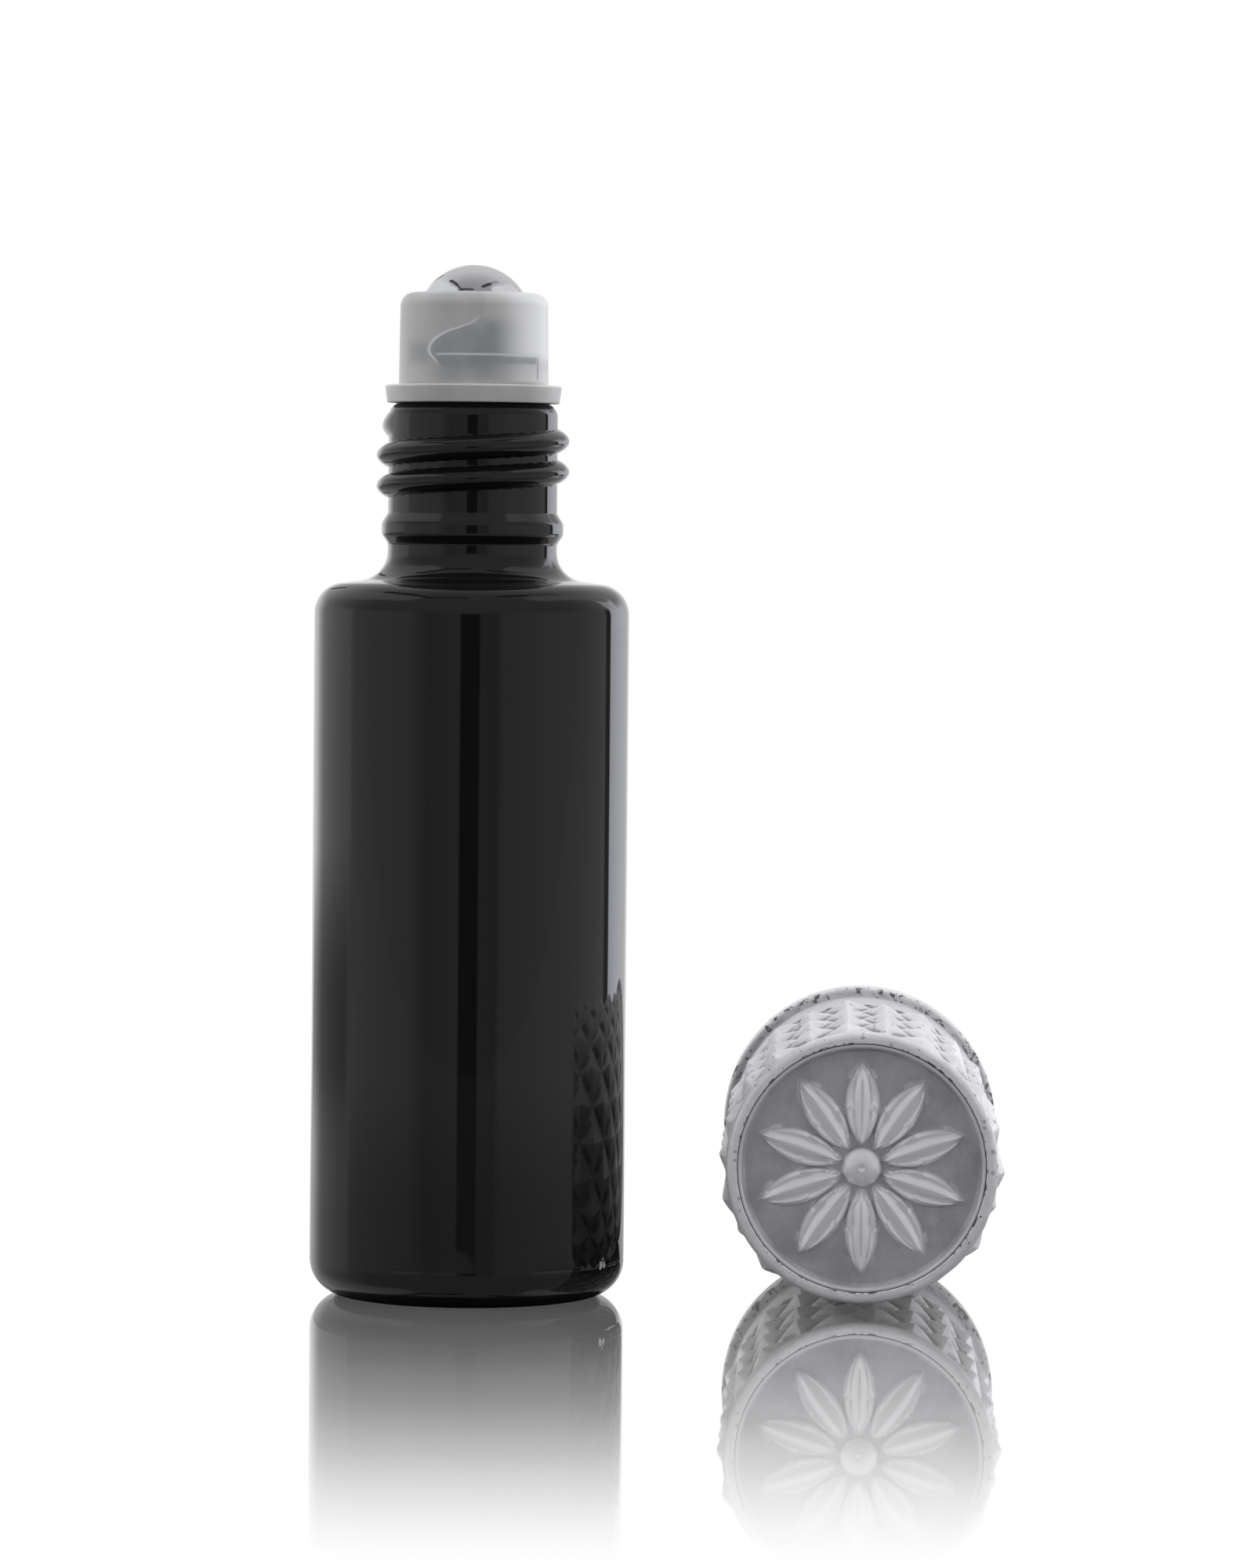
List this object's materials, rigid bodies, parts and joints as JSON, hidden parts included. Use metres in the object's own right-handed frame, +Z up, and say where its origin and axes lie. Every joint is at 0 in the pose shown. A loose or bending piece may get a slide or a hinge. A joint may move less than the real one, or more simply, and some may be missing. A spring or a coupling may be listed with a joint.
{
  "type": "roll on bottle",
  "caption": "Cylindrical black glass roll on bottle with a steel ball in a plastic fitment, and its studded cast metal screw cap lying beside it.",
  "frame": {"origin": "centre of the bottle's base, on the table", "axes": "+Z up along the bottle's axis, +X towards the cap that lies beside it, -Y to the front"},
  "size_m": [0.048, 0.0365, 0.07],
  "materials": {
    "lacquered_glass": "gloss black lacquer over glass",
    "natural_polyethylene": "milky translucent, satin",
    "polished_steel": "polished to a mirror",
    "cast_silver": "matte silver plated zinc alloy casting with fine pits",
    "satin_silver": "satin silver plated zinc alloy casting",
    "white_polypropylene": "moulded white",
    "white_foam": "closed cell foam"
  },
  "bodies": {
    "bottle": {"glass_bottle": "lacquered_glass", "roller_housing": "natural_polyethylene"},
    "ball": {"roller_ball": "polished_steel"},
    "cap": {"cap_shell": "cast_silver", "cap_medallion": "satin_silver", "cap_liner": "white_polypropylene", "sealing_wad": "white_foam"}
  },
  "joints": [
    {"name": "ball_roll", "type": "hinge", "parent": "bottle", "child": "ball", "pos_m": [0, 0, 0.066], "axis": [1, 0, 0], "continuous": true},
    {"name": "cap_lift", "type": "slide", "parent": "bottle", "child": "cap", "axis": [0, 0, 1], "range_m": [0, 0.09]}
  ]
}
